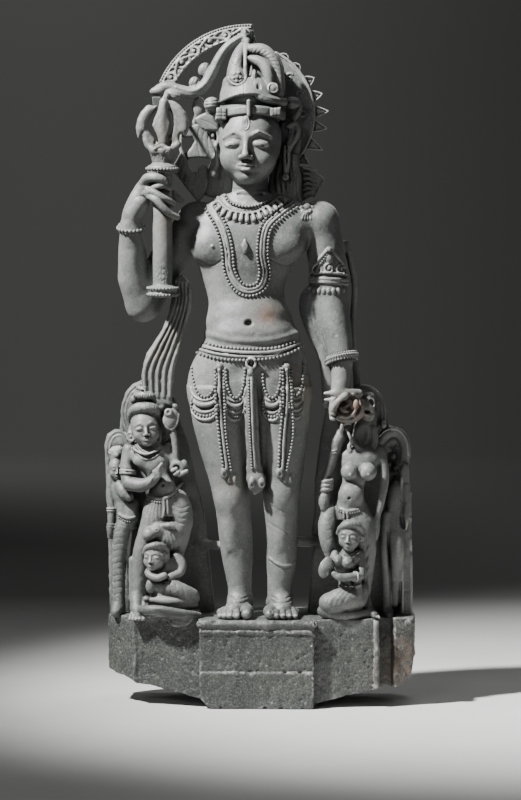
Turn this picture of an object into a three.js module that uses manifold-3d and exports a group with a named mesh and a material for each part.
import * as THREE from 'three';
import { mergeVertices } from 'three/addons/utils/BufferGeometryUtils.js';
import Module from 'manifold-3d';

// Driving sizes in millimetres. The front faces -Y and the stone stands on Z = 0.
const FIGURE_HEIGHT = 1000; // sole of the foot to the top of the crown
const BASE_HEIGHT = 154; // underside to the top the figures stand on
const BASE_DEPTH = 191; // front of the centre block to the back of the base
const BLOCK_WIDTH = 200; // centre block of the base
const BLOCK_STEP = 20; // how far the centre block stands in front of the panels
const PANEL_LEFT = 163; // width of the left side of the base
const PANEL_RIGHT = 175; // width of the right side of the base
const BLOCK_SPLIT = 66; // height of the groove between the two courses of the block
const GROOVE = 3; // depth of the grooves in the block
const ROLL = 14; // height of the rounded top edge of the block
const SHAFT_RADIUS = 17; // trident shaft
const SLAB_THICKNESS = 36; // stone left standing behind the attendants
const HALO_THICKNESS = 12;
const ARCH_THICKNESS = 24;

// How finely the figures are cut, and how many faces are kept of them
const CELL = 5;
const KEPT_FACES = 9100;
const SPACE_LOW = [-290, -108, -22]; // corners of the space the figures are cut in
const SPACE_HIGH = [290, 64, 1050];

const wasm = await Module();
wasm.setup();

const UNIT = FIGURE_HEIGHT / 1000; // the figures are drawn in thousandths of their height
const BLOCK_X = -3; // middle of the centre block
const FRONT_Y = -100; // front of the centre block
const BACK_Y = FRONT_Y + BASE_DEPTH;

// Forms: each has a box and a signed distance that is negative inside the stone

function form(low, high, distance) {
  return { low, high, distance };
}

function boxOf(points, reach) {
  const low = [Infinity, Infinity, Infinity];
  const high = [-Infinity, -Infinity, -Infinity];
  for (const point of points) {
    for (let axis = 0; axis < 3; axis++) {
      low[axis] = Math.min(low[axis], point[axis] - reach);
      high[axis] = Math.max(high[axis], point[axis] + reach);
    }
  }
  return [low, high];
}

// An ellipsoid, leaned in the front plane and turned about the upright by degrees
function ball(centre, radii, lean = 0, turn = 0) {
  const [rx, ry, rz] = radii;
  const cosLean = Math.cos(THREE.MathUtils.degToRad(lean));
  const sinLean = Math.sin(THREE.MathUtils.degToRad(lean));
  const cosTurn = Math.cos(THREE.MathUtils.degToRad(turn));
  const sinTurn = Math.sin(THREE.MathUtils.degToRad(turn));
  const [low, high] = boxOf([centre], Math.max(...radii));
  return form(low, high, (x, y, z) => {
    const dx = x - centre[0];
    const dy = y - centre[1];
    const dz = z - centre[2];
    const ax = dx * cosTurn + dy * sinTurn;
    const ay = dy * cosTurn - dx * sinTurn;
    const bx = ax * cosLean - dz * sinLean;
    const bz = dz * cosLean + ax * sinLean;
    const near = Math.hypot(bx / rx, ay / ry, bz / rz);
    const slope = Math.hypot(bx / (rx * rx), ay / (ry * ry), bz / (rz * rz));
    return slope < 1e-9 ? -Math.min(rx, ry, rz) : (near * (near - 1)) / slope;
  });
}

// A chain of tapering rounds through [x, y, z, radius]; depth below 1 flattens it front to back
function limb(joints, depth = 1) {
  const reach = Math.max(...joints.map((joint) => joint[3]));
  const [low, high] = boxOf(joints, reach);
  const links = joints.slice(1).map((end, index) => {
    const start = joints[index];
    const along = [end[0] - start[0], (end[1] - start[1]) / depth, end[2] - start[2]];
    const square = along.reduce((sum, part) => sum + part * part, 0);
    return { start, along, taper: end[3] - start[3], square };
  });
  return form(low, high, (x, y, z) => {
    let nearest = Infinity;
    for (const { start, along, taper, square } of links) {
      const dx = x - start[0];
      const dy = (y - start[1]) / depth;
      const dz = z - start[2];
      const share = Math.min(1, Math.max(0, (dx * along[0] + dy * along[1] + dz * along[2]) / square));
      const ex = dx - share * along[0];
      const ey = dy - share * along[1];
      const ez = dz - share * along[2];
      nearest = Math.min(nearest, Math.hypot(ex, ey, ez) - start[3] - share * taper);
    }
    return nearest * Math.min(1, depth);
  });
}

// Smooth values between rows that start with their height
function between(rows, smooth) {
  const slopes = rows.map((row, index) => {
    const before = rows[Math.max(0, index - 1)];
    const after = rows[Math.min(rows.length - 1, index + 1)];
    return row.map((value, column) => (after[column] - before[column]) / (after[0] - before[0]));
  });
  return (z) => {
    let index = 0;
    while (index < rows.length - 2 && z > rows[index + 1][0]) index++;
    const [start, end] = [rows[index], rows[index + 1]];
    const span = end[0] - start[0];
    const share = Math.min(1, Math.max(0, (z - start[0]) / span));
    if (!smooth) return start.map((value, column) => value + share * (end[column] - value));
    const cube = share * share * share;
    const square = share * share;
    return start.map(
      (value, column) =>
        (2 * cube - 3 * square + 1) * value +
        (cube - 2 * square + share) * span * slopes[index][column] +
        (3 * square - 2 * cube) * end[column] +
        (cube - square) * span * slopes[index + 1][column],
    );
  };
}

// An upright body of oval sections, in rows of [height, x, y, half width, half depth], lowest first
function column(rows, smooth = true) {
  const section = between(rows, smooth);
  const bottom = rows[0][0];
  const top = rows[rows.length - 1][0];
  const least = (place, half) => Math.min(...rows.map((row) => row[place] - row[half])) - 2;
  const most = (place, half) => Math.max(...rows.map((row) => row[place] + row[half])) + 2;
  const low = [least(1, 3), least(2, 4), bottom];
  const high = [most(1, 3), most(2, 4), top];
  return form(low, high, (x, y, z) => {
    const [, cx, cy, rx, ry] = section(z);
    const dx = x - cx;
    const dy = y - cy;
    const near = Math.hypot(dx / rx, dy / ry);
    const slope = Math.hypot(dx / (rx * rx), dy / (ry * ry));
    const side = slope < 1e-9 ? -Math.min(rx, ry) : (near * (near - 1)) / slope;
    return Math.max(side, bottom - z, z - top);
  });
}

// A hoop round a line through its centre
function hoop(centre, axis, radius, thickness) {
  const length = Math.hypot(...axis);
  const [ax, ay, az] = axis.map((part) => part / length);
  const [low, high] = boxOf([centre], radius + thickness);
  return form(low, high, (x, y, z) => {
    const dx = x - centre[0];
    const dy = y - centre[1];
    const dz = z - centre[2];
    const height = dx * ax + dy * ay + dz * az;
    const out = Math.sqrt(Math.max(0, dx * dx + dy * dy + dz * dz - height * height));
    return Math.hypot(out - radius, height) - thickness;
  });
}

// A flat piece with an outline of [x, z] corners, between two depths
function plate(outline, front, back, edge = 4) {
  const xs = outline.map((corner) => corner[0]);
  const zs = outline.map((corner) => corner[1]);
  const middle = (front + back) / 2;
  const half = (back - front) / 2;
  const low = [Math.min(...xs), front, Math.min(...zs)];
  const high = [Math.max(...xs), back, Math.max(...zs)];
  return form(low, high, (x, y, z) => {
    const flat = outlineDistance(outline, x, z) + edge;
    const deep = Math.abs(y - middle) - half + edge;
    return Math.min(Math.max(flat, deep), 0) + Math.hypot(Math.max(flat, 0), Math.max(deep, 0)) - edge;
  });
}

function outlineDistance(outline, x, z) {
  let square = Infinity;
  let sign = 1;
  for (let index = 0; index < outline.length; index++) {
    const [ax, az] = outline[index];
    const [bx, bz] = outline[(index + 1) % outline.length];
    const ex = bx - ax;
    const ez = bz - az;
    const dx = x - ax;
    const dz = z - az;
    const share = Math.min(1, Math.max(0, (dx * ex + dz * ez) / (ex * ex + ez * ez)));
    square = Math.min(square, (dx - share * ex) ** 2 + (dz - share * ez) ** 2);
    if (az > z !== bz > z && x < ax + (ex * (z - az)) / ez) sign = -sign;
  }
  return sign * Math.sqrt(square);
}

// The stone: a field of distances on a grid, which forms are added to and carved from
class Stone {
  constructor(low, high, cell) {
    this.low = low;
    this.cell = cell;
    this.count = low.map((value, axis) => Math.ceil((high[axis] - value) / cell) + 1);
    this.field = new Float32Array(this.count[0] * this.count[1] * this.count[2]).fill(4 * cell);
  }

  index(i, j, k) {
    return (k * this.count[1] + j) * this.count[0] + i;
  }

  each(shape, margin, change) {
    const from = shape.low.map((value, axis) =>
      Math.max(1, Math.floor((value - margin - this.low[axis]) / this.cell)),
    );
    const to = shape.high.map((value, axis) =>
      Math.min(this.count[axis] - 2, Math.ceil((value + margin - this.low[axis]) / this.cell)),
    );
    for (let k = from[2]; k <= to[2]; k++) {
      const z = this.low[2] + k * this.cell;
      for (let j = from[1]; j <= to[1]; j++) {
        const y = this.low[1] + j * this.cell;
        for (let i = from[0]; i <= to[0]; i++) {
          const at = this.index(i, j, k);
          this.field[at] = change(this.field[at], shape.distance(this.low[0] + i * this.cell, y, z));
        }
      }
    }
  }

  add(shape, blend = 6) {
    this.each(shape, blend + 2 * this.cell, (old, distance) => {
      const near = Math.max(blend - Math.abs(old - distance), 0) / blend;
      return Math.min(old, distance) - (near * near * blend) / 4;
    });
  }

  carve(shape, blend = 3) {
    this.each(shape, blend, (old, distance) => {
      const near = Math.max(blend - Math.abs(old + distance), 0) / blend;
      return Math.max(old, -distance) + (near * near * blend) / 4;
    });
  }

  // Depth of the front surface at a place in the front plane
  front(x, z) {
    const i = Math.round((x - this.low[0]) / this.cell);
    const k = Math.round((z - this.low[2]) / this.cell);
    for (let j = 1; j < this.count[1]; j++) {
      const inside = this.field[this.index(i, j, k)];
      if (inside > 0) continue;
      const outside = this.field[this.index(i, j - 1, k)];
      return this.low[1] + (j - inside / (inside - outside)) * this.cell;
    }
    return 0;
  }

  // A cord laid over the front surface along a smooth line through [x, z] places
  strand(places, radius, rise = 0.3, blend = 2) {
    const line = new THREE.CatmullRomCurve3(places.map(([x, z]) => new THREE.Vector3(x, 0, z)));
    const steps = Math.max(2, Math.round(line.getLength() / (2 * this.cell)));
    const joints = line
      .getSpacedPoints(steps)
      .map(({ x, z }) => [x, this.front(x, z) - rise * radius, z, radius]);
    this.add(limb(joints), blend);
  }
}

// Meshing: each cell is six tetrahedra round its diagonal, so the surface is always closed

const TETRAHEDRA = [
  [0, 1, 3, 7],
  [0, 5, 1, 7],
  [0, 3, 2, 7],
  [0, 2, 6, 7],
  [0, 4, 5, 7],
  [0, 6, 4, 7],
];

function tetrahedronCases() {
  const cases = Array.from({ length: 16 }, () => []);
  for (const [a, b, c, d] of [[0, 1, 2, 3], [1, 0, 3, 2], [2, 3, 0, 1], [3, 2, 1, 0]]) {
    cases[1 << a] = [[a, b], [a, c], [a, d]];
    cases[15 ^ (1 << a)] = [[a, b], [a, d], [a, c]];
  }
  const pairs = [[0, 1, 2, 3], [0, 2, 3, 1], [0, 3, 1, 2], [1, 2, 0, 3], [1, 3, 2, 0], [2, 3, 0, 1]];
  for (const [a, b, c, d] of pairs) {
    cases[(1 << a) | (1 << b)] = [[a, c], [a, d], [b, d], [a, c], [b, d], [b, c]];
  }
  return cases;
}

function surfaceOf(stone) {
  const { field, count, cell, low } = stone;
  const cases = tetrahedronCases();
  const offset = Array.from(
    { length: 8 },
    (_, corner) => stone.index(corner & 1, (corner >> 1) & 1, corner >> 2),
  );
  const known = new Int32Array(field.length * 7).fill(-1);
  const points = [];
  const faces = [];

  function crossing(cellIndex, i, j, k, one, other) {
    const from = Math.min(one, other);
    const to = Math.max(one, other);
    const key = (cellIndex + offset[from]) * 7 + (from ^ to) - 1;
    if (known[key] < 0) {
      const a = field[cellIndex + offset[from]];
      const b = field[cellIndex + offset[to]];
      const share = Math.min(0.9, Math.max(0.1, a / (a - b)));
      const place = (axis, start) => {
        const near = (from >> axis) & 1;
        const far = (to >> axis) & 1;
        return low[axis] + (start + near + share * (far - near)) * cell;
      };
      known[key] = points.length / 3;
      points.push(place(0, i), place(1, j), place(2, k));
    }
    return known[key];
  }

  for (let k = 0; k < count[2] - 1; k++) {
    for (let j = 0; j < count[1] - 1; j++) {
      for (let i = 0; i < count[0] - 1; i++) {
        const at = stone.index(i, j, k);
        let inside = 0;
        for (const step of offset) if (field[at + step] < 0) inside++;
        if (inside === 0 || inside === 8) continue;
        for (const corners of TETRAHEDRA) {
          let mask = 0;
          corners.forEach((corner, bit) => {
            if (field[at + offset[corner]] < 0) mask |= 1 << bit;
          });
          for (const [a, b] of cases[mask]) faces.push(crossing(at, i, j, k, corners[a], corners[b]));
        }
      }
    }
  }
  return { points: new Float64Array(points), faces: new Int32Array(faces) };
}

// The largest closed shell of a mesh
function largestShell({ points, faces }) {
  const parent = Int32Array.from({ length: points.length / 3 }, (_, index) => index);
  const root = (index) => {
    while (parent[index] !== index) {
      parent[index] = parent[parent[index]];
      index = parent[index];
    }
    return index;
  };
  for (let face = 0; face < faces.length; face += 3) {
    parent[root(faces[face + 1])] = root(faces[face]);
    parent[root(faces[face + 2])] = root(faces[face]);
  }
  const tally = new Map();
  for (let face = 0; face < faces.length; face += 3) {
    const shell = root(faces[face]);
    tally.set(shell, (tally.get(shell) ?? 0) + 1);
  }
  const largest = [...tally].sort((one, other) => other[1] - one[1])[0][0];
  const kept = [];
  for (let face = 0; face < faces.length; face += 3) {
    if (root(faces[face]) === largest) kept.push(faces[face], faces[face + 1], faces[face + 2]);
  }
  return { points, faces: Int32Array.from(kept) };
}

// Thinning: edges are closed up in order of how little the surface moves

// Items with their costs, the cheapest first out
class Queue {
  constructor() {
    this.costs = [];
    this.items = [];
    this.marks = [];
  }

  put(slot, cost, item, mark) {
    this.costs[slot] = cost;
    this.items[slot] = item;
    this.marks[slot] = mark;
  }

  push(cost, item, mark) {
    let slot = this.costs.length;
    while (slot > 0) {
      const above = (slot - 1) >> 1;
      if (this.costs[above] <= cost) break;
      this.put(slot, this.costs[above], this.items[above], this.marks[above]);
      slot = above;
    }
    this.put(slot, cost, item, mark);
  }

  pop() {
    const top = [this.items[0], this.marks[0]];
    const cost = this.costs.pop();
    const item = this.items.pop();
    const mark = this.marks.pop();
    const length = this.costs.length;
    let slot = 0;
    while (2 * slot + 1 < length) {
      let below = 2 * slot + 1;
      if (below + 1 < length && this.costs[below + 1] < this.costs[below]) below++;
      if (this.costs[below] >= cost) break;
      this.put(slot, this.costs[below], this.items[below], this.marks[below]);
      slot = below;
    }
    if (length > 0) this.put(slot, cost, item, mark);
    return top;
  }
}

const QUADRIC = 10; // numbers in a symmetric four by four matrix
const ANCHOR = 2e-3; // pull towards the old place, which keeps flat faces well shaped
const FLATTEST = 0.2; // least agreement between a face's old and new facing
const THINNEST = 0.4; // least height of a face, in millimetres
const GONE = -1e9; // age of a vertex that has been closed up

function longestSide(a, b, c) {
  return Math.max(
    Math.hypot(a[0] - b[0], a[1] - b[1], a[2] - b[2]),
    Math.hypot(b[0] - c[0], b[1] - c[1], b[2] - c[2]),
    Math.hypot(c[0] - a[0], c[1] - a[1], c[2] - a[2]),
  );
}

// A face's normal, as long as twice its area
function facing(a, b, c) {
  const ux = b[0] - a[0];
  const uy = b[1] - a[1];
  const uz = b[2] - a[2];
  const vx = c[0] - a[0];
  const vy = c[1] - a[1];
  const vz = c[2] - a[2];
  return [uy * vz - uz * vy, uz * vx - ux * vz, ux * vy - uy * vx];
}

// A closed mesh whose edges can be closed up one by one
class Surface {
  constructor({ points, faces }, careAt) {
    this.points = points;
    this.faces = faces;
    this.total = points.length / 3;
    this.left = faces.length / 3;
    this.live = new Uint8Array(this.left).fill(1);
    this.age = new Int32Array(this.total);
    this.around = Array.from({ length: this.total }, () => []);
    this.quadrics = new Float64Array(this.total * QUADRIC);
    this.queue = new Queue();
    for (let face = 0; face < this.left; face++) this.weigh(face, careAt);
    for (let slot = 0; slot < faces.length; slot++) {
      const one = faces[slot];
      const other = faces[slot % 3 === 2 ? slot - 2 : slot + 1];
      if (one < other) this.offer(one, other);
    }
  }

  point(vertex) {
    const slot = 3 * vertex;
    return [this.points[slot], this.points[slot + 1], this.points[slot + 2]];
  }

  addPlane(vertex, nx, ny, nz, d, weight) {
    const q = this.quadrics;
    const slot = vertex * QUADRIC;
    q[slot] += weight * nx * nx;
    q[slot + 1] += weight * nx * ny;
    q[slot + 2] += weight * nx * nz;
    q[slot + 3] += weight * nx * d;
    q[slot + 4] += weight * ny * ny;
    q[slot + 5] += weight * ny * nz;
    q[slot + 6] += weight * ny * d;
    q[slot + 7] += weight * nz * nz;
    q[slot + 8] += weight * nz * d;
    q[slot + 9] += weight * d * d;
  }

  weigh(face, careAt) {
    const corners = [this.faces[3 * face], this.faces[3 * face + 1], this.faces[3 * face + 2]];
    const [a, b, c] = corners.map((vertex) => this.point(vertex));
    const normal = facing(a, b, c);
    const size = Math.hypot(...normal) || 1e-12;
    const [nx, ny, nz] = normal.map((part) => part / size);
    const weight = size * careAt(...a);
    for (const vertex of corners) {
      const [x, y, z] = this.point(vertex);
      this.around[vertex].push(face);
      this.addPlane(vertex, nx, ny, nz, -(nx * a[0] + ny * a[1] + nz * a[2]), weight);
      this.addPlane(vertex, 1, 0, 0, -x, ANCHOR * size);
      this.addPlane(vertex, 0, 1, 0, -y, ANCHOR * size);
      this.addPlane(vertex, 0, 0, 1, -z, ANCHOR * size);
    }
  }

  // The place that closing up an edge moves the surface least, and how much that is
  best(one, other) {
    const q = this.quadrics;
    const s = one * QUADRIC;
    const t = other * QUADRIC;
    const a = q[s] + q[t];
    const b = q[s + 1] + q[t + 1];
    const c = q[s + 2] + q[t + 2];
    const d = q[s + 3] + q[t + 3];
    const e = q[s + 4] + q[t + 4];
    const f = q[s + 5] + q[t + 5];
    const g = q[s + 6] + q[t + 6];
    const h = q[s + 7] + q[t + 7];
    const i = q[s + 8] + q[t + 8];
    const j = q[s + 9] + q[t + 9];
    const eh = e * h - f * f;
    const cf = c * f - b * h;
    const bf = b * f - c * e;
    const scale = a * eh + b * cf + c * bf;
    const x = -(d * eh + g * cf + i * bf) / scale;
    const y = -(d * cf + g * (a * h - c * c) + i * (b * c - a * f)) / scale;
    const z = -(d * bf + g * (b * c - a * f) + i * (a * e - b * b)) / scale;
    return [x, y, z, d * x + g * y + i * z + j];
  }

  offer(one, other) {
    this.queue.push(this.best(one, other)[3], one * this.total + other, this.age[one] + this.age[other]);
  }

  neighbours(vertex) {
    const ring = [];
    for (const face of this.around[vertex]) {
      for (let slot = 3 * face; slot < 3 * face + 3; slot++) {
        const corner = this.faces[slot];
        if (corner !== vertex && !ring.includes(corner)) ring.push(corner);
      }
    }
    return ring;
  }

  holds(face, vertex) {
    const slot = 3 * face;
    return this.faces[slot] === vertex || this.faces[slot + 1] === vertex || this.faces[slot + 2] === vertex;
  }

  // Whether the faces round a moved vertex keep their facing and don't become needles
  staysGood(moved, fixed, place) {
    for (const face of this.around[moved]) {
      if (this.holds(face, fixed)) continue;
      const slot = 3 * face;
      const turn = this.faces[slot] === moved ? 0 : this.faces[slot + 1] === moved ? 1 : 2;
      const b = this.point(this.faces[slot + ((turn + 1) % 3)]);
      const c = this.point(this.faces[slot + ((turn + 2) % 3)]);
      const old = this.point(moved);
      const [ox, oy, oz] = facing(old, b, c);
      const [nx, ny, nz] = facing(place, b, c);
      const oldSize = Math.sqrt(ox * ox + oy * oy + oz * oz);
      const newSize = Math.sqrt(nx * nx + ny * ny + nz * nz);
      if (ox * nx + oy * ny + oz * nz < FLATTEST * oldSize * newSize) return false;
      const height = newSize / longestSide(place, b, c);
      if (height < THINNEST && height < oldSize / longestSide(old, b, c)) return false;
    }
    return true;
  }

  // Closes up the cheapest edge that is left, where the surface stays sound
  step() {
    const [edge, mark] = this.queue.pop();
    const one = Math.floor(edge / this.total);
    const other = edge % this.total;
    if (this.age[one] + this.age[other] !== mark) return;
    const ringOne = this.neighbours(one);
    const ringOther = this.neighbours(other);
    const shared = ringOne.filter((vertex) => ringOther.includes(vertex)).length;
    if (shared !== 2 || ringOne.length + ringOther.length < 8) return;
    const place = this.best(one, other);
    if (!place.every(Number.isFinite)) return;
    if (!this.staysGood(one, other, place) || !this.staysGood(other, one, place)) return;
    this.close(one, other, place, ringOther);
  }

  close(one, other, place, ringOther) {
    this.points.set(place.slice(0, 3), 3 * one);
    for (let part = 0; part < QUADRIC; part++) {
      this.quadrics[one * QUADRIC + part] += this.quadrics[other * QUADRIC + part];
    }
    for (const face of this.around[other]) {
      if (this.holds(face, one)) {
        this.live[face] = 0;
        this.left--;
      } else {
        for (let slot = 3 * face; slot < 3 * face + 3; slot++) {
          if (this.faces[slot] === other) this.faces[slot] = one;
        }
        this.around[one].push(face);
      }
    }
    for (const vertex of ringOther) {
      this.around[vertex] = this.around[vertex].filter((face) => this.live[face]);
    }
    this.around[other] = [];
    this.age[one]++;
    this.age[other] = GONE;
    for (const vertex of this.neighbours(one)) this.offer(one, vertex);
  }

  kept() {
    const renumber = new Map();
    const points = [];
    const faces = [];
    for (let slot = 0; slot < this.faces.length; slot++) {
      if (!this.live[Math.floor(slot / 3)]) continue;
      const vertex = this.faces[slot];
      if (!renumber.has(vertex)) {
        renumber.set(vertex, points.length / 3);
        points.push(...this.point(vertex));
      }
      faces.push(renumber.get(vertex));
    }
    return { points, faces };
  }
}

function thin(mesh, target, careAt) {
  const surface = new Surface(mesh, careAt);
  while (surface.left > target && surface.queue.costs.length > 0) surface.step();
  return surface.kept();
}

// The standing figure, in thousandths of its height above the base

// Both legs, with the knees, calves and ankles
function legs(stone) {
  const left = column([
    [-8, -33, -30, 19, 22], [15, -33, -30, 18, 20], [38, -34, -31, 19.5, 21], [64, -36, -30, 22, 24],
    [98, -39, -28, 26.5, 29], [142, -42, -28, 29.5, 32], [177, -45, -34, 30, 31], [203, -48, -37, 32, 33],
    [238, -52, -36, 36, 36], [290, -60, -35, 44, 42], [342, -66, -34, 51, 47], [400, -68, -32, 56, 50],
  ]);
  const right = column([
    [-8, 33, -30, 19, 22], [15, 33, -30, 18, 20], [43, 34, -31, 20, 21], [64, 36, -30, 22.5, 24],
    [98, 38, -28, 27, 29], [150, 38.5, -28, 29, 32], [180, 38, -34, 30.5, 31], [205, 38, -37, 32, 33],
    [238, 39, -36, 35, 36], [290, 40, -35, 41, 42], [342, 38, -34, 49, 47], [400, 35, -32, 55, 50],
  ]);
  stone.add(left, 4);
  stone.add(right, 4);
  for (const [x, z] of [[-50, 205], [39, 212]]) stone.add(ball([x, -58, z], [22, 16, 24]), 14);
}

// A foot with its heel, instep and five toes; side is 1 where the great toe is at its right
function foot(stone, x, side) {
  stone.add(limb([[x, -32, 34, 20], [x - 2 * side, -62, 20, 19], [x - 3 * side, -78, 11, 14]]), 10);
  stone.add(ball([x - 3 * side, -68, 6], [33, 26, 17]), 8);
  stone.add(ball([x, -14, 8], [19, 20, 18]), 8);
  for (let toe = 0; toe < 5; toe++) {
    const across = x + side * (22 - 13.4 * toe);
    const radius = toe === 0 ? 10.5 : 8.6 - 0.6 * toe;
    const tip = -95 + 2 * toe;
    stone.add(limb([[across - 2 * side, -70, 12, radius], [across, tip + radius, radius - 2, radius]]), 2);
  }
}

// Trunk from the hips to the shoulders, with the chest and belly
function trunk(stone) {
  stone.add(
    column([
      [318, -16, -28, 30, 22], [340, -17, -29, 70, 38], [366, -17, -31, 100, 50], [394, -17, -32, 109, 55],
      [434, -18, -32, 102, 55], [472, -14, -33, 88, 51], [490, -12, -33, 82, 49], [515, -17, -32, 76, 46],
      [534, -18, -31, 71.5, 44], [550, -21, -30, 68, 42], [568, -25, -29, 68, 42], [590, -26, -28, 74, 44],
      [617, -22, -27, 86, 47], [646, -16, -26, 100, 50], [680, -9, -25, 112, 49], [706, -5, -23, 104, 41],
      [722, -6, -21, 80, 33], [736, -12, -20, 52, 28],
    ]),
    8,
  );
  stone.add(ball([-80, -50, 642], [37, 30, 34]), 14);
  stone.add(ball([44, -50, 656], [37, 30, 34]), 14);
  stone.add(ball([-17, -52, 505], [52, 30, 44]), 16);
  stone.carve(ball([-18, -84, 513], [5, 9, 5]), 3);
}

function neck(stone) {
  stone.add(column([[716, -15, -20, 44, 34], [735, -16, -22, 33, 31], [775, -16, -26, 30, 30]]), 10);
  for (const z of [741, 748]) stone.add(hoop([-16, -22, z], [0, -0.15, 1], 29, 4), 2);
}

// The face: a calm egg with level brows, half-closed lids, straight nose and full lips
const FACE = [-16, -30, 818];
const FACE_TURN = -6;

function faceAt(across, forward, up) {
  const turn = THREE.MathUtils.degToRad(FACE_TURN);
  return [
    FACE[0] + across * Math.cos(turn) + forward * Math.sin(turn),
    FACE[1] + across * Math.sin(turn) - forward * Math.cos(turn),
    FACE[2] + up,
  ];
}

function head(stone) {
  const lump = (across, forward, up, radii, blend) => {
    stone.add(ball(faceAt(across, forward, up), radii, 0, FACE_TURN), blend);
  };
  lump(0, 0, 12, [54, 58, 64], 6);
  lump(0, 16, -30, [42, 38, 36], 12);
  lump(0, 40, -53, [16, 13, 12], 10);
  for (const side of [-1, 1]) {
    lump(27 * side, 30, -20, [21, 20, 23], 10);
    stone.carve(ball(faceAt(22 * side, 66, 4), [18, 15, 9], 0, FACE_TURN), 6);
    lump(22 * side, 44, 2, [17, 13, 9], 3);
    const brow = [[5, 55, 15], [21, 55, 23], [42, 38, 13]];
    stone.add(limb(brow.map(([across, forward, up]) => [...faceAt(across * side, forward, up), 3])), 4);
  }
  stone.add(limb([[...faceAt(0, 53, 17), 4], [...faceAt(0, 60, 0), 5], [...faceAt(0, 66, -17), 7]]), 5);
  lump(0, 61, -20, [13, 7, 5], 3);
  lump(0, 47, -33, [17, 11, 4], 2);
  lump(0, 47, -41, [12, 11, 4.5], 2);
  lump(-1, 51, 38, [6, 6, 11], 2);
}

// Long ears with drawn-out lobes and their rings
function ears(stone) {
  stone.add(limb([[-84, -18, 846, 7], [-76, -22, 838, 8], [-76, -24, 818, 5], [-75, -24, 790, 4.5]]), 3);
  stone.add(ball([-79, -26, 772], [7, 7, 8]), 2);
  stone.add(limb([[60, -14, 852, 9], [60, -14, 836, 7], [50, -18, 812, 5], [46, -20, 772, 4.5]]), 3);
  stone.add(ball([46, -20, 766], [7, 7, 7]), 2);
}

// Smoothed hair behind and above the forehead, and the fillet round it
function crown(stone) {
  stone.add(ball([-16, 4, 826], [54, 36, 58]), 8);
  stone.add(
    column([
      [888, -15, -16, 52, 44], [918, -14, -15, 53.5, 43], [933, -14, -13, 51.5, 41], [940, -13, -10, 46, 35],
      [955, -9, -6, 44, 30], [968, -9, -4, 36, 25], [982, -10, -1, 25, 20], [994, -14, 2, 12, 13],
    ]),
    3,
  );
  stone.add(ball([-16, -16, 878], [60, 52, 28]), 4);
  const fillet = [
    [870, -15, -22, 55, 53], [873, -15, -22, 60, 58], [888, -15, -21, 60.5, 58], [892, -15, -21, 57, 55],
  ];
  stone.add(column(fillet, false), 2);
  stone.add(plate([[-26, 870], [-25, 897], [-14, 897], [-14, 870]], -87, -60, 3), 2);
  stone.add(plate([[-77, 868], [-74, 888], [-57, 886], [-58, 863]], -66, -34, 3), 2);
  tallBun(stone);
  archedLock(stone);
}

// The tall left lobe of the hair
function tallBun(stone) {
  stone.add(
    column([
      [912, -38, -26, 16, 26], [936, -39.5, -32, 17.5, 27], [950, -39.5, -32, 16.5, 25],
      [964, -38, -30, 14.5, 21], [978, -35, -26, 12, 17], [988, -32, -22, 9.5, 13], [998, -28, -16, 6, 8],
    ]),
    3,
  );
  stone.add(ball([-38, -50, 935], [17, 12, 20]), 3);
  stone.add(
    limb(
      [[-23, -56, 936, 4], [-24, -54, 955, 4], [-24, -44, 975, 4], [-23, -28, 992, 5], [-22, -14, 1002, 6]],
    ),
    2,
  );
}

// The right side of the hair: an outer roll arched over an inner one, a bud and a disc
function archedLock(stone) {
  const outer = [
    [-15, -30, 985, 9], [4, -32, 985, 9], [19, -33, 973, 9], [28, -34, 956, 9], [33, -36, 934, 9],
    [33, -38, 912, 8.5], [28, -40, 900, 8],
  ];
  const inner = [
    [-14, -44, 966, 6], [-4, -46, 963, 7], [8, -48, 953, 7.5], [14, -50, 938, 8], [15, -50, 922, 8],
    [10, -52, 908, 7],
  ];
  stone.add(limb(outer), 2);
  stone.add(limb(inner), 2);
  stone.add(ball([-9, -48, 934], [7, 10, 16]), 2);
  stone.carve(limb([[-19, -70, 968, 3], [-18, -73, 942, 3.4], [-14, -77, 918, 4], [-10, -81, 898, 5]]), 1);
  stone.add(
    limb([[-6, -56, 912, 5], [0, -62, 902, 6.5], [14, -60, 897, 7], [30, -50, 895, 7], [42, -34, 894, 6]]),
    2,
  );
  stone.add(ball([24, -50, 916], [10, 10, 10.5]), 2);
  stone.add(limb([[28, -6, 977, 6], [36, -6, 955, 6], [39, -8, 920, 6], [39, -10, 870, 6]]), 3);
}

// The bow, ribbon and pleated hem at the left of the head, open between their parts
function leftRibbon(stone) {
  stone.add(ball([-83, -20, 891], [14, 15, 13]), 2);
  stone.add(limb([[-86, -18, 880, 8], [-70, -20, 884, 8]]), 2);
  const end = [
    [-114, 866], [-105, 872], [-93, 877], [-80, 870], [-70, 858], [-70, 845], [-97, 845], [-106, 854],
  ];
  stone.add(plate(end, -32, -14, 5), 2);
  stone.add(
    plate([[-119, 906], [-96, 906], [-90, 880], [-112, 866], [-115, 853], [-119, 853]], -10, 14, 3),
    2,
  );
  const cloth = [
    [-138, 848], [-118, 856], [-96, 862], [-70, 860], [-66, 790], [-82, 789], [-90, 798], [-105, 800],
    [-122, 798], [-130, 794], [-135, 806], [-129, 808], [-120, 818], [-114, 829], [-118, 835], [-136, 834],
  ];
  stone.add(plate(cloth, -4, 22, 4), 2);
  stone.add(limb([[-138, -6, 846, 4], [-138, -8, 814, 4], [-128, -8, 790, 4]]), 2);
  const hemmed = [
    [-153, 782], [-138, 809], [-131, 801], [-125, 787], [-116, 775], [-108, 773], [-107, 783], [-101, 789],
    [-94, 785], [-90, 760], [-94, 742], [-100, 730], [-108, 722], [-128, 745],
  ];
  stone.add(plate(hemmed, -18, 6, 3), 2);
}

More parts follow.
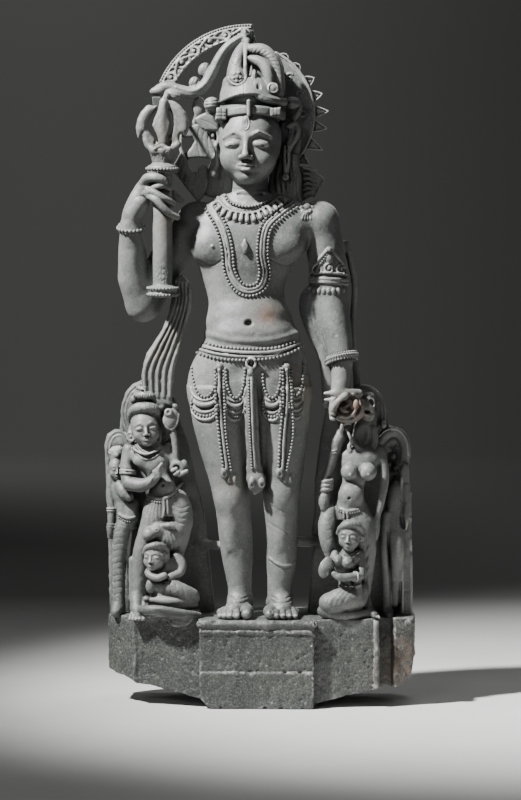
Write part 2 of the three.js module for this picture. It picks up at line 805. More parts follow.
// Hair on the shoulders and the fan of ribbon behind the right one
function locks(stone) {
  const left = [
    [-74, 815], [-62, 790], [-46, 764], [-46, 732], [-84, 730], [-96, 734], [-98, 760], [-90, 785],
  ];
  stone.add(plate(left, -8, 22, 4), 3);
  const right = [
    [36, 868], [62, 862], [72, 830], [68, 800], [72, 760], [78, 724], [30, 718], [12, 740], [20, 790],
  ];
  stone.add(plate(right, -6, 26, 6), 3);
  for (let lock = 0; lock < 3; lock++) {
    const x = 38 + 11 * lock;
    stone.add(limb([[x, -6, 812, 6], [x + 3 * lock, -9, 776, 6], [x + 4 * lock, -14, 730, 6]]), 2);
  }
  stone.add(ball([55, -8, 894], [15, 13, 11]), 2);
  stone.add(limb([[62, -6, 898, 5], [70, -4, 890, 5], [66, -4, 876, 5], [58, -4, 866, 5]]), 2);
  stone.add(plate([[66, 790], [78, 778], [98, 778], [110, 758], [92, 732], [70, 722]], -2, 14, 3), 2);
}

function arcPoint([x, z], radius, degrees) {
  const angle = THREE.MathUtils.degToRad(degrees);
  return [x + radius * Math.cos(angle), z + radius * Math.sin(angle)];
}

// Halo and arch: parts of rings behind the head, and the halo's flames as [degrees, reach]
const HALO = [-25, 876];
const HALO_RADIUS = 119;
const FLAMES = [[56, 128], [43, 129], [28, 137], [15, 140], [2, 146], [-10, 145], [-25, 149], [-39, 143]];
const ARCH = [-22, 863];
const ARCH_OUTER = 169;
const ARCH_INNER = 142;

// The outline of part of a flat ring
function ringPart(centre, inner, outer, from, to) {
  const steps = 12;
  const turns = Array.from({ length: steps + 1 }, (_, step) => from + ((to - from) * step) / steps);
  const outside = turns.map((turn) => arcPoint(centre, outer, turn));
  return outside.concat(turns.reverse().map((turn) => arcPoint(centre, inner, turn)));
}

function halo(stone) {
  const back = 34;
  const front = back - HALO_THICKNESS;
  stone.add(plate(ringPart(HALO, 40, HALO_RADIUS - 2, -48, 72), front, back, 2), 4);
  for (const [turn, reach] of FLAMES) {
    const feet = [-5, 5.5].map((gap) => arcPoint(HALO, HALO_RADIUS - 4, turn + gap));
    stone.add(plate([feet[0], arcPoint(HALO, reach, turn), feet[1]], front + 1, back - 1, 1), 2);
  }
  const rim = [];
  for (let turn = -46; turn <= 64; turn += 10) {
    const [x, z] = arcPoint(HALO, HALO_RADIUS - 2, turn);
    rim.push([x, front + 1, z, 3.4]);
  }
  stone.add(limb(rim), 2);
}

function arch(stone) {
  const front = 4;
  stone.add(plate(ringPart(ARCH, ARCH_INNER, ARCH_OUTER, 87, 156), front, front + ARCH_THICKNESS, 3), 4);
  for (const radius of [ARCH_OUTER - 4, ARCH_INNER + 3]) {
    const border = [];
    for (let turn = 88; turn <= 155; turn += 7) {
      const [x, z] = arcPoint(ARCH, radius, turn);
      border.push([x, front, z, 3]);
    }
    stone.add(limb(border), 2);
  }
  stone.add(plate([[-20, 1031], [-14, 1028], [-10, 1014], [-6, 1000], [-24, 998]], 6, 28, 3), 2);
  stem(stone);
}

// The plant stem that swings from over the trident up to the crown, with its leaves and buds
function stem(stone) {
  const path = [
    [-176, 6, 920, 8], [-160, 4, 924, 9], [-140, 2, 917, 9.5], [-118, 0, 913, 10.5], [-98, -2, 924, 10],
    [-84, -4, 946, 9.5], [-72, -6, 970, 8.5], [-58, -6, 990, 8], [-40, -4, 1003, 8], [-24, 0, 1010, 9],
  ];
  stone.add(limb(path), 3);
  stone.add(ball([-178, 4, 916], [15, 9, 8], -8), 3);
  stone.add(ball([-164, 3, 923], [12, 8, 7], 10), 3);
  stone.add(ball([-151, -2, 909], [16, 9, 9.5], 10), 2);
  stone.add(plate([[-187, 904], [-172, 904], [-172, 884], [-184, 880]], -30, 8, 3), 3);
  stone.add(ball([-115, 2, 930], [9, 8, 11], 25), 3);
  stone.add(ball([-97, 2, 952], [11, 9, 13], 20), 3);
  stone.add(limb([[-26, -8, 1020, 5], [-26, -2, 1000, 10], [-24, 2, 1014, 9]]), 4);
  stone.add(limb([[-25, -10, 1006, 4], [-24, -14, 992, 5]]), 2);
}

// The trident, held upright in front of the raised arm
const TRIDENT_X = -167;
const TRIDENT_Y = -58;

// Outlines of its prongs, in distances out from the shaft and heights
const LEFT_BLADE = [
  [8, 897], [25, 885], [39, 866], [46, 846], [46, 832], [43.5, 825], [38, 829], [33, 818], [26, 809],
  [15, 803], [9, 808], [10, 815], [14, 822], [22, 830], [27, 843], [28, 856], [23, 871], [17, 882],
  [9, 891],
];
const RIGHT_BLADE = [
  [10, 896], [26, 882], [39, 863], [43, 846], [43, 835], [38, 825], [32, 829], [30, 818], [23, 809],
  [12, 803], [8, 808], [10, 817], [8, 826], [9, 835], [15, 847], [16, 853], [13, 870], [8, 888],
];
const MIDDLE_BLADE = [
  [-6, 808], [-9, 822], [-18, 834], [-25, 847], [-24.5, 856], [-19, 872], [-12, 882], [-4, 890], [-2, 906],
  [3, 906], [5, 893], [10, 877], [14, 858], [14.5, 848], [7, 836], [6, 822], [6, 808],
];
const LEFT_SLIT = [[-11, 890], [-21, 873], [-26.5, 856], [-26.5, 846], [-18, 832], [-11, 822]];
const RIGHT_SLIT = [[6, 898], [11, 876], [15.5, 853], [8.5, 837], [8, 820]];

function trident(stone) {
  const [x, y] = [TRIDENT_X, TRIDENT_Y];
  const radius = SHAFT_RADIUS / UNIT;
  const profile = [
    [556, 15], [560, 22], [563, 26], [573, 27], [576, 22], [578, radius], [770, radius], [772, 22],
    [775, 26], [779, 27.5], [783, 26], [786, 20], [789, 17.5], [794, 18.5], [800, 20], [806, 22.5],
    [811, 22], [818, 14],
  ];
  stone.add(column(profile.map(([z, wide]) => [z, x, y, wide, wide]), false), 2);
  for (const [side, outline] of [[-1, LEFT_BLADE], [1, RIGHT_BLADE]]) {
    stone.add(plate(outline.map(([out, up]) => [x + 1 + side * out, up]), y - 9, y + 9, 3), 2);
    stone.carve(ball([x + 1 + 13 * side, y - 11, 819], [5, 8, 5]), 2);
  }
  stone.add(plate(MIDDLE_BLADE.map(([out, up]) => [x + out, up]), y - 14, y + 7, 3), 1);
  for (const slit of [LEFT_SLIT, RIGHT_SLIT]) {
    stone.carve(limb(slit.map(([out, up]) => [x + out, y - 13, up, 2.8])), 1);
  }
  stone.add(limb([[x, y, 892, 6], [x + 2, -42, 902, 6], [x + 4, -14, 910, 8], [x + 6, 2, 914, 9]]), 3);
}

// The arm that holds the trident, its bracelet and the fingers round the shaft
function raisedArm(stone) {
  stone.add(ball([-104, -12, 684], [38, 34, 34]), 12);
  stone.add(limb([[-110, -8, 690, 33], [-160, 0, 625, 32], [-202, -8, 548, 31]]), 10);
  stone.add(
    limb([[-206, -14, 540, 27], [-220, -26, 590, 28], [-220, -38, 640, 25], [-222, -50, 676, 20]]),
    10,
  );
  stone.add(hoop([-222, -48, 677], [0, -0.3, 1], 21, 5), 2);
  stone.add(
    limb([[-222, -50, 672, 17], [-221, -54, 698, 16.5], [-212, -58, 722, 15.5], [-202, -58, 742, 14]]),
    6,
  );
  stone.add(ball([-194, -58, 750], [15, 18, 20], 20), 5);
  const fingers = [
    [
      [-200, -66, 752, 8], [-192, -76, 762, 8.4], [-178, -85, 763, 8.4], [-166, -84, 758, 8],
      [-162, -78, 752, 7],
    ],
    [[-182, -82, 744, 6], [-172, -86, 748, 6], [-162, -83, 748, 6], [-154, -77, 744, 5]],
    [
      [-192, -72, 744, 6], [-180, -84, 738, 6.4], [-168, -86, 730, 6.4], [-156, -82, 723, 6],
      [-148, -76, 718, 5.4],
    ],
    [
      [-190, -72, 732, 6], [-178, -86, 726, 6.6], [-165, -87, 712, 6.6], [-152, -82, 700, 6.2],
      [-141, -76, 695, 6],
    ],
  ];
  for (const finger of fingers) stone.add(limb(finger), 2);
  stone.add(limb([[-150, -44, 736, 6], [-142, -40, 728, 6], [-136, -36, 724, 5]]), 2);
}

// The lowered arm and the hand that holds the broken pot
function loweredArm(stone) {
  stone.add(ball([101, -14, 687], [37, 36, 36]), 10);
  const arm = [
    [104, -14, 688, 34], [114, -14, 640, 33], [120, -14, 590, 31.5], [126, -20, 545, 29], [134, -28, 500, 26],
    [141, -38, 462, 21], [143, -43, 446, 18],
  ];
  stone.add(limb(arm), 8);
  const wrist = [
    [143, -44, 446, 17], [142, -49, 424, 15.5], [141, -53, 404, 16], [139, -54, 384, 16],
    [134, -54, 366, 13],
  ];
  stone.add(limb(wrist), 6);
  for (const [z, radius] of [[389, 6.5], [379, 5.6]]) {
    stone.add(limb([[136, -58, z - 1, 9], [124, -61, z, radius], [116, -62, z + 1, 4]]), 2);
  }
  stone.add(limb([[131, -66, 376, 5], [130, -70, 362, 6], [132, -66, 349, 5]]), 2);
  stone.add(hoop([143, -43, 451], [0.18, -0.25, 1], 24, 6), 2);
  pot(stone);
}

// The broken vessel: a worn shell, a curled rim and rough stone beside it
function pot(stone) {
  stone.add(ball([154, -48, 362], [25, 20, 23]), 3);
  const rim = [
    [140, -64, 352, 6], [156, -70, 344, 6.5], [174, -66, 350, 6.5], [182, -60, 366, 6], [176, -60, 382, 5],
    [166, -60, 388, 5],
  ];
  stone.add(limb(rim), 2);
  stone.add(limb([[146, -66, 366, 5], [156, -70, 359, 5], [166, -68, 364, 5]]), 2);
  stone.carve(ball([152, -70, 372], [8, 14, 7], -20), 2);
  stone.add(limb([[134, -62, 392, 7], [150, -66, 388, 6], [168, -60, 386, 7], [182, -44, 382, 8]]), 3);
  stone.add(ball([190, -26, 366], [18, 22, 26]), 5);
}

// The scarf that bulges over the lowered elbow, and its end behind the arm
function elbowScarf(stone) {
  const bulge = [
    [92, -6, 572, 9], [82, -12, 556, 12], [81, -14, 534, 12], [88, -14, 508, 11], [100, -12, 478, 10],
    [114, -8, 448, 9], [118, -4, 414, 8], [119, 2, 370, 9],
  ];
  const sheet = [[80, 560], [96, 578], [134, 570], [140, 470], [132, 372], [112, 372], [102, 470], [78, 526]];
  const ribbon = [
    [150, 0, 650, 6], [160, 4, 612, 6], [166, 6, 572, 6], [162, 6, 520, 6], [164, 6, 470, 6],
    [169, 6, 420, 6], [170, 8, 380, 7],
  ];
  stone.add(limb(bulge), 4);
  stone.add(plate(sheet, -30, 14, 10), 8);
  stone.add(limb(ribbon), 4);
}

function armlet(stone) {
  stone.add(hoop([121, -14, 585], [0.08, 0, 1], 33, 5), 2);
  stone.add(hoop([121, -14, 596], [0.08, 0, 1], 33, 4), 2);
  stone.add(ball([120, -46, 612], [18, 8, 22]), 3);
  for (const [x, z] of [[104, 606], [138, 606]]) stone.add(ball([x, -42, z], [10, 8, 10]), 2);
}

// The pleated scarf that falls from the raised arm to the slab
function scarf(stone) {
  const outline = [
    [-150, 590], [-134, 596], [-122, 582], [-117, 560], [-119, 536], [-128, 508], [-136, 486], [-142, 460],
    [-148, 436], [-152, 400], [-154, 368], [-180, 366], [-204, 388], [-206, 420], [-202, 442], [-196, 460],
    [-184, 478], [-170, 500], [-158, 528], [-152, 560],
  ];
  stone.add(plate(outline, -40, -6, 7), 4);
  for (const share of [0.05, 0.35, 0.65, 0.95]) {
    const pleat = [
      [-146 + 24 * share, 584], [-146 + 24 * share, 548], [-160 + 29 * share, 508], [-182 + 40 * share, 468],
      [-199 + 46 * share, 430], [-198 + 42 * share, 384],
    ];
    stone.strand(pleat, 5, 0);
  }
}

// An oval halo with a raised rim
function smallHalo(stone, [x, z], [wide, tall], y) {
  stone.add(ball([x, y, z], [wide, 12, tall]), 3);
  const rim = [];
  for (let turn = 0; turn <= 360; turn += 20) {
    const angle = THREE.MathUtils.degToRad(turn);
    const [px, pz] = [x + (wide - 4) * Math.cos(angle), z + (tall - 4) * Math.sin(angle)];
    rim.push([px, Math.max(stone.front(px, pz), y - 14), pz, 3.4]);
  }
  stone.add(limb(rim), 2);
}

// Necklaces: a collar with its fringe, and the long loops down the chest
const COLLAR = [[-66, 742], [-56, 726], [-34, 716], [-16, 713], [6, 720], [26, 732]];
const LONG_OUTER = [
  [-92, 722], [-78, 690], [-66, 664], [-60, 640], [-56, 602], [-48, 574], [-22, 560], [2, 574], [12, 590],
  [4, 620], [8, 650], [34, 690],
];
const LONG_INNER = [
  [-76, 716], [-60, 684], [-48, 656], [-44, 622], [-38, 594], [-22, 584], [-4, 594], [-4, 630], [2, 664],
  [22, 694], [50, 712],
];

function necklaces(stone) {
  stone.strand(COLLAR, 5);
  stone.strand(COLLAR.map(([x, z]) => [x * 1.2 + 3, z - 14]), 6);
  stone.strand(LONG_OUTER, 5);
  stone.strand(LONG_INNER, 5);
  stone.add(ball([-24, stone.front(-24, 646), 646], [4, 4, 9]), 2);
}

// Belts, loops of beads over the thighs, tassels and the middle sash
function girdle(stone) {
  stone.strand([[-92, 488], [-60, 480], [-17, 476], [26, 480], [60, 490]], 5);
  stone.strand([[-98, 466], [-60, 458], [-17, 454], [32, 456], [72, 470]], 8);
  stone.strand([[-104, 452], [-62, 444], [-22, 440], [30, 444], [70, 458]], 5);
  for (const [clasp, side] of [[-78, -1], [42, 1]]) {
    const hung = (reaches, radius) => {
      stone.strand(reaches.map(([out, z]) => [clasp + out * side, z]), radius);
    };
    hung([[0, 436], [6, 380], [-4, 330], [-8, 262]], 5);
    hung([[-14, 436], [-12, 380], [-14, 330], [-14, 262]], 5);
    const tassel = clasp - 10 * side;
    stone.add(ball([tassel, stone.front(tassel, 250), 250], [7, 7, 16]), 2);
    stone.add(ball([clasp, stone.front(clasp, 434), 434], [10, 6, 10]), 2);
    for (const [drop, reach] of [[58, 30], [84, 36]]) {
      const low = 430 - drop;
      hung(
        [[0, 430], [10, low + 0.2 * drop], [0.6 * reach, low], [reach, 436 - 0.6 * drop], [reach + 6, 434]],
        4.5,
      );
      hung([[-4, 430], [-12, low + 0.2 * drop], [-0.5 * reach, low + 0.1 * drop], [-0.8 * reach, 400]], 4.5);
    }
  }
  stone.add(ball([-14, stone.front(-14, 428), 428], [12, 8, 10]), 2);
  const top = [-14, stone.front(-14, 410), 410, 12];
  const upper = [-14, stone.front(-14, 340) - 4, 340, 13];
  stone.add(limb([top, upper, [-12, -62, 262, 14], [-11, -62, 236, 15], [-11, -62, 216, 6]], 0.7), 3);
  stone.carve(limb([[4, -96, 370, 6], [8, -88, 300, 6], [8, -80, 220, 6]]), 4);
}

// The hem that shows on the right shin
function hem(stone) {
  stone.strand([[18, 98], [30, 92], [44, 88], [56, 92]], 3);
}

// Stone left standing behind the attendants, and the bridges to the legs
function slabs(stone) {
  const front = 14;
  const back = front + SLAB_THICKNESS;
  const left = [
    [-266, -10], [-269, 146], [-273, 251], [-275, 295], [-270, 314], [-258, 322], [-248, 322], [-246, 348],
    [-238, 388], [-226, 402], [-208, 410], [-158, 408], [-146, 352], [-128, 300], [-113, 234], [-99, 181],
    [-96, 146], [-92, 109], [-82, 14], [-82, -10],
  ];
  const right = [
    [118, 374], [105, 304], [96, 234], [95, 172], [90, 146], [93, 120], [84, 4], [84, -10], [266, -10],
    [266, 146], [262, 269], [259, 296], [254, 313], [243, 325], [226, 330], [224, 354], [217, 374],
    [206, 388], [190, 396], [160, 398], [130, 390],
  ];
  stone.add(plate(left, front, back, 6), 6);
  stone.add(plate(right, front, back, 6), 6);
  stone.add(limb([[-110, 14, 122, 10], [-86, -8, 120, 9], [-66, -24, 121, 9]]), 6);
  stone.add(limb([[104, 14, 128, 9], [84, -8, 128, 9], [60, -24, 130, 9]]), 6);
}

// The haloed attendant at the left with the raised staff
function leftAttendant(stone) {
  smallHalo(stone, [-194, 352], [51, 60], 6);
  stone.add(ball([-200, -30, 333], [23, 25, 28], -6), 4);
  stone.add(ball([-197, -34, 314], [17, 17, 15]), 4);
  stone.add(ball([-198, -56, 322], [4, 5, 9]), 2);
  stone.add(ball([-202, -18, 372], [23, 18, 34]), 3);
  for (const [z, reach] of [[364, 20], [386, 17], [398, 12]]) {
    stone.add(hoop([-202, -18, z], [0.12, -0.1, 1], reach, 5), 2);
  }
  for (const x of [-225, -175]) stone.add(limb([[x, -24, 330, 5], [x, -26, 308, 5]]), 2);
  const body = [
    [176, -164, -28, 33, 26], [198, -166, -28, 30, 26], [212, -168, -30, 26, 23], [228, -170, -30, 23, 22],
    [246, -176, -28, 24, 22], [264, -186, -27, 32, 24], [284, -192, -25, 38, 22], [298, -195, -24, 24, 16],
    [316, -198, -26, 13, 13],
  ];
  stone.add(column(body), 4);
  stone.add(ball([-166, -46, 228], [17, 10, 16]), 6);
  for (const x of [-208, -176]) stone.add(ball([x, -44, 266], [15, 10, 13]), 4);
  stone.add(limb([[-228, -22, 290, 12], [-233, -28, 262, 11], [-230, -36, 240, 12]]), 4);
  stone.add(limb([[-226, -42, 232, 13], [-206, -52, 230, 12], [-190, -58, 236, 10], [-176, -62, 250, 8]]), 3);
  stone.add(limb([[-176, -64, 248, 6], [-169, -64, 262, 5]]), 2);
  stone.add(limb([[-160, -22, 290, 12], [-150, -28, 270, 11], [-142, -34, 262, 10]]), 4);
  stone.strand([[-222, 294], [-206, 280], [-196, 276], [-182, 280], [-170, 290]], 4);
  staff(stone);
  attendantLegs(stone);
}

// The staff, its leaf-shaped head and the hand round it
function staff(stone) {
  stone.add(limb([[-142, -38, 250, 6], [-146, -36, 290, 6], [-151, -34, 322, 6]]), 2);
  stone.add(ball([-155, -36, 344], [14.5, 12, 20], 8), 2);
  for (const [x, z] of [[-170, 366], [-158, 372], [-148, 366]]) stone.add(ball([x, -32, z], [8, 8, 8]), 2);
  stone.add(hoop([-143, -42, 259], [0.25, 1, 0.1], 9, 5), 2);
  stone.add(ball([-132, -38, 262], [8, 9, 12]), 3);
}

// Hips, thighs and feet of the left attendant, with the bull's head beside the knee
function attendantLegs(stone) {
  stone.add(
    limb([
      [-178, -32, 194, 24], [-186, -36, 160, 22], [-204, -34, 112, 17], [-210, -32, 70, 14],
      [-212, -32, 34, 13],
    ]),
    5,
  );
  stone.add(
    limb([
      [-146, -28, 200, 22], [-138, -30, 176, 22], [-142, -28, 140, 20], [-150, -26, 100, 15],
      [-156, -24, 50, 12],
    ]),
    5,
  );
  stone.strand([[-194, 209], [-178, 204], [-164, 205], [-150, 214], [-138, 226]], 4.5);
  stone.add(limb([[-163, -56, 204, 5], [-163, -56, 172, 5]]), 3);
  for (const x of [-222, -210]) stone.add(limb([[x, -34, 98, 6.5], [x, -34, 30, 7]]), 2);
  stone.add(limb([[-214, -36, 34, 12], [-214, -48, 14, 12], [-211, -66, 1, 10]]), 3);
  stone.add(limb([[-202, -40, 26, 8], [-198, -54, 12, 7], [-194, -66, 4, 6]]), 3);
  stone.add(ball([-158, -38, 142], [26, 22, 27], -15), 5);
  stone.add(ball([-176, -50, 150], [17, 14, 13], -25), 4);
  stone.add(ball([-189, -56, 147], [12.5, 12, 11]), 3);
  stone.add(limb([[-158, -56, 164, 5], [-148, -60, 168, 5], [-138, -54, 166, 4]]), 2);
}

// The small devotee kneeling at the left on a ledge shaped like an open lotus
function leftDevotee(stone) {
  const ledge = [
    [-206, -10], [-205, 14], [-198, 21], [-150, 19], [-122, 12], [-108, 2], [-106, -12], [-150, -30],
  ];
  stone.add(plate(ledge, -82, -20, 6), 3);
  stone.carve(ball([-176, -86, -8], [26, 14, 12], -10), 3);
  stone.add(ball([-180, -62, 110], [19, 21, 24], 0, -22), 3);
  stone.add(ball([-178, -54, 118], [21, 20, 15]), 2);
  stone.add(ball([-163, -60, 108], [8, 8, 11]), 2);
  stone.add(
    column([
      [34, -164, -50, 26, 20], [56, -160, -50, 19, 17], [74, -158, -50, 19, 16], [92, -158, -48, 24, 16],
      [104, -160, -46, 12, 12],
    ]),
    3,
  );
  stone.add(limb([[-140, -46, 110, 9], [-134, -50, 92, 9], [-138, -58, 76, 8], [-154, -72, 72, 7]]), 2);
  stone.add(limb([[-186, -58, 88, 7], [-192, -70, 78, 6.5], [-178, -80, 71, 6.5], [-164, -80, 75, 6]]), 2);
  stone.add(limb([[-178, -58, 56, 14], [-152, -68, 54, 14.5], [-130, -68, 46, 13], [-116, -62, 40, 11]]), 2);
  stone.add(ball([-188, -66, 56], [9, 10, 14]), 2);
  stone.add(limb([[-112, -58, 34, 9], [-134, -70, 30, 8], [-160, -72, 31, 7.5], [-192, -66, 33, 6.5]]), 2);
}

// The attendant at the far left, cut by the edge of the slab
function farLeftAttendant(stone) {
  smallHalo(stone, [-248, 288], [25, 35], 10);
  stone.add(ball([-251, -8, 256], [14, 16, 18]), 3);
  stone.add(ball([-251, -3, 277], [14, 14, 16]), 2);
  stone.add(
    column([
      [150, -236, -6, 20, 18], [178, -238, -6, 17, 17], [196, -240, -6, 16, 16], [218, -243, -6, 19, 16],
      [232, -246, -4, 16, 13], [242, -249, -6, 8, 9],
    ]),
    3,
  );
  stone.add(limb([[-244, -18, 226, 11], [-236, -26, 214, 11], [-228, -30, 208, 8]]), 3);
  stone.add(
    limb([
      [-261, -4, 240, 7.5], [-263, -8, 210, 7.5], [-260, -12, 180, 6.5], [-262, -12, 150, 6.5],
      [-263, -10, 136, 5],
    ]),
    3,
  );
  const leg = [
    [-226, -10, 190, 14], [-228, -12, 170, 15], [-240, -12, 150, 15], [-246, -10, 110, 14],
    [-248, -10, 50, 11], [-248, -10, 4, 12],
  ];
  stone.add(limb(leg), 3);
  stone.strand([[-246, 174], [-232, 168], [-216, 170], [-208, 174]], 4);
  stone.add(limb([[-226, -14, 160, 4.5], [-231, -15, 96, 4.5]]), 2);
  stone.add(limb([[-250, -14, 12, 12], [-252, -26, 4, 9]]), 3);
}

// The woman at the right whose head is lost
function rightAttendant(stone) {
  smallHalo(stone, [180, 352], [42, 52], 6);
  lostHead(stone);
  const body = [
    [170, 160, -32, 30, 26], [186, 158, -34, 27, 26], [204, 159, -36, 24, 24], [220, 160, -36, 22, 22],
    [234, 164, -35, 20, 19], [250, 170, -32, 27, 20], [270, 174, -30, 35, 21], [286, 174, -28, 36, 19],
    [298, 176, -24, 22, 14],
  ];
  stone.add(column(body), 4);
  for (const x of [157, 188.5]) stone.add(ball([x, -52, 252], [16.5, 16, 16.5]), 2);
  stone.add(ball([159, -50, 213], [22, 15, 23]), 4);
  const nearArm = [
    [142, -30, 318, 10], [134, -32, 304, 12.5], [130, -34, 288, 11], [122, -38, 260, 8],
    [114, -40, 236, 8.5], [114, -40, 218, 8], [113, -44, 204, 8.5], [112, -44, 190, 5],
  ];
  stone.add(limb(nearArm), 3);
  for (const z of [236, 224]) stone.add(hoop([116, -40, z], [-0.15, 0, 1], 9, 4), 2);
  const farArm = [
    [208, -24, 284, 11], [216, -28, 262, 9], [217, -30, 232, 8], [210, -32, 196, 7], [204, -36, 172, 6.5],
    [203, -37, 138, 5],
  ];
  stone.add(limb(farArm), 3);
  stone.add(limb([[122, -36, 184, 15], [118, -42, 160, 16], [120, -44, 132, 14.5], [126, -42, 106, 11]]), 4);
  stone.add(
    limb([
      [168, -34, 186, 22], [178, -36, 158, 24], [184, -34, 120, 20], [184, -30, 70, 14], [180, -30, 30, 12],
    ]),
    4,
  );
  stone.add(limb([[182, -36, 30, 11], [190, -50, 14, 9], [201, -64, 5, 7]]), 3);
  stone.strand([[138, 188], [150, 185], [162, 185], [174, 188]], 4.5);
}

// The rough hollow where the head broke away, with the strands and curl that remain
function lostHead(stone) {
  stone.add(limb([[176, -18, 290, 20], [180, -12, 310, 20], [186, -8, 330, 20], [190, -4, 350, 16]]), 4);
  stone.carve(ball([174, -44, 318], [19, 22, 24], 22), 4);
  stone.add(limb([[143, -40, 325, 4], [144, -42, 334, 4], [150, -42, 339, 4], [157, -40, 337, 4]]), 2);
  stone.add(limb([[148, -36, 330, 4], [158, -42, 308, 4], [156, -44, 292, 4]]), 2);
  stone.add(limb([[162, -38, 312, 4], [167, -44, 300, 4.4], [176, -46, 291, 4.6], [188, -44, 280, 4]]), 2);
  stone.add(limb([[199, -26, 326, 6], [201, -26, 308, 6.5], [196, -30, 288, 6]]), 3);
}

// The woman kneeling at the right with a lotus held up beside her
function rightDevotee(stone) {
  stone.add(ball([157, -60, 146], [19, 21, 24]), 3);
  stone.add(ball([159, -54, 157], [20, 20, 16]), 2);
  stone.add(ball([176, -50, 142], [9, 10, 14]), 2);
  const body = [
    [32, 158, -48, 22, 20], [52, 154, -50, 16, 16], [70, 152, -52, 15, 15], [88, 150, -54, 19, 16],
    [106, 152, -54, 24, 15], [115, 154, -54, 13, 12], [126, 156, -56, 9, 10],
  ];
  stone.add(column(body), 3);
  stone.add(ball([136, -72, 101], [11, 11, 11]), 2);
  stone.add(ball([153, -72, 97], [11.5, 11, 11.5]), 2);
  const arm = [
    [174, -52, 112, 8], [178, -56, 94, 7.5], [177, -64, 76, 7.5], [158, -80, 74, 7], [140, -86, 74, 6.5],
    [134, -86, 78, 5],
  ];
  stone.add(limb(arm), 2);
  stone.add(limb([[132, -62, 112, 7], [126, -70, 100, 6], [124, -78, 88, 5.5]]), 2);
  const lotus = [
    [104, 104], [108, 107], [116, 102], [126, 92], [134, 78], [132, 70], [122, 68], [112, 78], [104, 92],
  ];
  stone.add(plate(lotus, -84, -66, 4), 2);
  stone.add(limb([[168, -56, 34, 20], [144, -70, 34, 21], [124, -76, 28, 17]]), 3);
  stone.add(ball([120, -74, 28], [16, 14, 17]), 4);
  stone.add(limb([[112, -70, 14, 11], [136, -74, 8, 10], [162, -66, 6, 10], [186, -56, 8, 9]]), 3);
  stone.add(ball([178, -54, 46], [13, 14, 16]), 4);
}

// The attendant at the far right: its head is a rough hollow under a broad halo
function farRightAttendant(stone) {
  const haloEdge = [[212, 306], [222, 316], [238, 320], [250, 310], [256, 290], [252, 266]];
  stone.add(limb(haloEdge.map(([x, z]) => [x, 8, z, 9])), 3);
  stone.carve(ball([232, 6, 272], [13, 18, 34], 8), 3);
  const edge = [[246, -8], [246, 250], [252, 268], [261, 262], [264, 150], [268, 60], [267, -8]];
  stone.add(plate(edge, -8, 30, 4), 2);
  const body = [
    [60, 238, 0, 12, 14], [110, 240, -2, 13, 16], [150, 238, -2, 15, 17], [176, 236, 0, 15, 16],
    [204, 238, 2, 16, 15], [224, 240, 4, 14, 12], [236, 242, 8, 8, 8],
  ];
  stone.add(column(body), 3);
  stone.add(limb([[238, -8, 140, 13], [241, -12, 112, 12], [238, -6, 70, 9], [236, -4, 20, 8]]), 4);
  stone.add(limb([[222, -8, 176, 9], [218, -10, 130, 7], [221, -10, 70, 6.5], [224, -10, 8, 7]]), 3);
  stone.add(limb([[256, -4, 226, 7], [258, -8, 186, 6.5], [252, -12, 154, 6]]), 3);
  stone.add(limb([[226, -14, 6, 8], [228, -26, 0, 7]]), 3);
}

// How closely the faces keep to the carving: closest on the heads
const HEADS = [
  [[-16, -40, 830], 95, 5],
  [[-200, -40, 350], 60, 2],
  [[155, -60, 146], 34, 2],
  [[-186, -60, 120], 30, 2],
];

function careAt(x, y, z) {
  const near = HEADS.filter(([at, reach]) => Math.hypot(x - at[0], y - at[1], z - at[2]) < reach);
  return near.reduce((most, [, , care]) => Math.max(most, care), 1);
}

function figures() {
  const stone = new Stone(SPACE_LOW, SPACE_HIGH, CELL / UNIT);
  slabs(stone);
  halo(stone);
  legs(stone);
  foot(stone, -34, 1);
  foot(stone, 38, -1);
  trunk(stone);
  neck(stone);
  head(stone);
  ears(stone);
  crown(stone);
  leftRibbon(stone);
  locks(stone);
  arch(stone);
  elbowScarf(stone);
  scarf(stone);
  raisedArm(stone);
  loweredArm(stone);
  armlet(stone);
  necklaces(stone);
  girdle(stone);
  hem(stone);
  trident(stone);
  farLeftAttendant(stone);
  leftAttendant(stone);
  leftDevotee(stone);
  farRightAttendant(stone);
  rightAttendant(stone);
  rightDevotee(stone);
  return thin(largestShell(surfaceOf(stone)), KEPT_FACES, careAt);
}

// Solids

function solid(points, faces) {
  const mesh = new wasm.Mesh({
    numProp: 3,
    vertProperties: Float32Array.from(points),
    triVerts: Uint32Array.from(faces),
  });
  return new wasm.Manifold(mesh);
}

function geometrySolid(geometry) {
  geometry.deleteAttribute('normal');
  geometry.deleteAttribute('uv');
  const merged = mergeVertices(geometry, 1e-4);
  return solid(merged.attributes.position.array, merged.index.array);
}

// An outline of [across, along] corners pushed through a depth, then placed by a matrix
function pushed(outline, depth, matrix) {
  const shape = new THREE.Shape(outline.map(([x, y]) => new THREE.Vector2(x, y)));
  const geometry = new THREE.ExtrudeGeometry(shape, { depth, bevelEnabled: false });
  geometry.applyMatrix4(matrix);
  return geometrySolid(geometry);
}

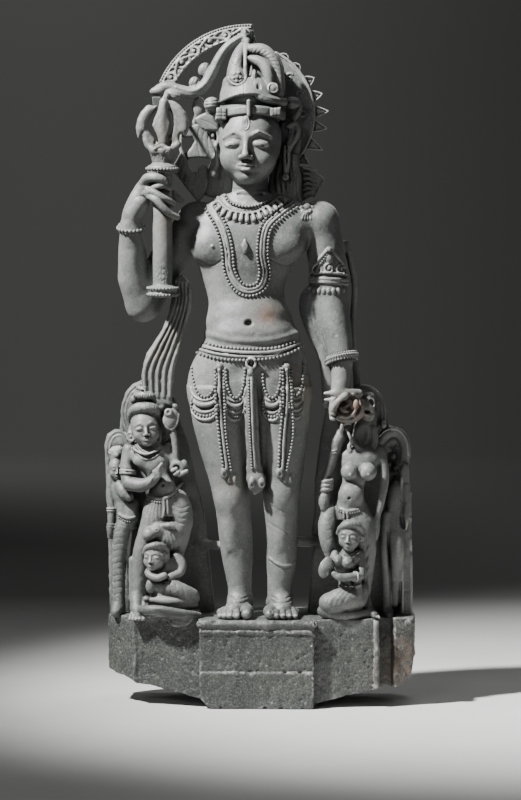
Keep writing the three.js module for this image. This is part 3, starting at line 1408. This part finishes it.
// The base: a stepped plan, a moulded centre block and a broken underside that rises at both sides
function base() {
  const left = BLOCK_X - BLOCK_WIDTH / 2;
  const right = BLOCK_X + BLOCK_WIDTH / 2;
  const panel = FRONT_Y + BLOCK_STEP;
  const plan = [
    [left - PANEL_LEFT, -10], [left - 0.7 * PANEL_LEFT, -52], [left, panel], [right, panel - 3],
    [right + 0.6 * PANEL_RIGHT, panel + 7], [right + 0.63 * PANEL_RIGHT, panel + 42],
    [right + 0.76 * PANEL_RIGHT, panel + 42], [right + 0.79 * PANEL_RIGHT, panel + 22],
    [right + 0.98 * PANEL_RIGHT, panel + 28], [right + PANEL_RIGHT, -10],
    [right + 0.98 * PANEL_RIGHT, BACK_Y - 26], [right + 0.8 * PANEL_RIGHT, BACK_Y],
    [left - 0.8 * PANEL_LEFT, BACK_Y], [left - 0.98 * PANEL_LEFT, BACK_Y - 28],
  ];
  let stone = pushed(plan, BASE_HEIGHT, new THREE.Matrix4());
  stone = stone.add(centreBlock(left));
  for (const cut of underside(left, right)) stone = stone.subtract(cut);
  return stone;
}

// The centre block from its profile of [depth, height] corners
function centreBlock(left) {
  const face = FRONT_Y + GROOVE;
  const profile = [
    [0, 0], [FRONT_Y, 0], [FRONT_Y, BLOCK_SPLIT - GROOVE], [face + GROOVE, BLOCK_SPLIT],
    [face, BLOCK_SPLIT + GROOVE], [face, BASE_HEIGHT - 2 * ROLL],
    [face - GROOVE / 2, BASE_HEIGHT - ROLL - 2], [FRONT_Y, BASE_HEIGHT - ROLL],
    [FRONT_Y - 1, BASE_HEIGHT - ROLL / 2], [FRONT_Y + 2, BASE_HEIGHT], [0, BASE_HEIGHT],
  ];
  const toFront = new THREE.Matrix4().makeBasis(
    new THREE.Vector3(0, 1, 0),
    new THREE.Vector3(0, 0, 1),
    new THREE.Vector3(1, 0, 0),
  );
  return pushed(profile, BLOCK_WIDTH, toFront.setPosition(left, 0, 0));
}

// Wedges that the broken underside lacks at its left and right
function underside(left, right) {
  const deep = BASE_DEPTH + 40;
  const through = new THREE.Matrix4().makeBasis(
    new THREE.Vector3(1, 0, 0),
    new THREE.Vector3(0, 0, 1),
    new THREE.Vector3(0, -1, 0),
  );
  through.setPosition(0, BACK_Y + 20, 0);
  const leftEnd = left - PANEL_LEFT - 20;
  const rightEnd = right + PANEL_RIGHT + 20;
  return [
    pushed(
      [
        [left + 24, -5], [left + 22, 0], [left, 14], [left - 50, 27], [left - 110, 37],
        [left - PANEL_LEFT, 56], [leftEnd, 60], [leftEnd, -5],
      ],
      deep,
      through,
    ),
    pushed(
      [
        [right, -5], [right + 2, 4], [right + 40, 19], [right + 105, 28], [right + 140, 36],
        [right + PANEL_RIGHT, 66], [rightEnd, 90], [rightEnd, -5],
      ],
      deep,
      through,
    ),
  ];
}

function buildStele() {
  const { points, faces } = figures();
  const placed = points.map((value, index) => value * UNIT + (index % 3 === 2 ? BASE_HEIGHT : 0));
  const stone = solid(placed, faces).add(base());
  const { vertProperties, triVerts, numProp } = stone.getMesh();
  const positions = [];
  for (let vertex = 0; vertex < vertProperties.length; vertex += numProp) {
    positions.push(vertProperties[vertex], vertProperties[vertex + 1], vertProperties[vertex + 2]);
  }
  const geometry = new THREE.BufferGeometry();
  geometry.setAttribute('position', new THREE.BufferAttribute(Float32Array.from(positions), 3));
  geometry.setIndex(new THREE.BufferAttribute(Uint32Array.from(triVerts), 1));
  return geometry;
}

const slate = new THREE.MeshStandardMaterial({ color: 0x5c625e, roughness: 0.72, metalness: 0 });
const stele = new THREE.Mesh(buildStele(), slate);
stele.name = 'shiva_stele';

const group = new THREE.Group();
group.add(stele);

export default group;
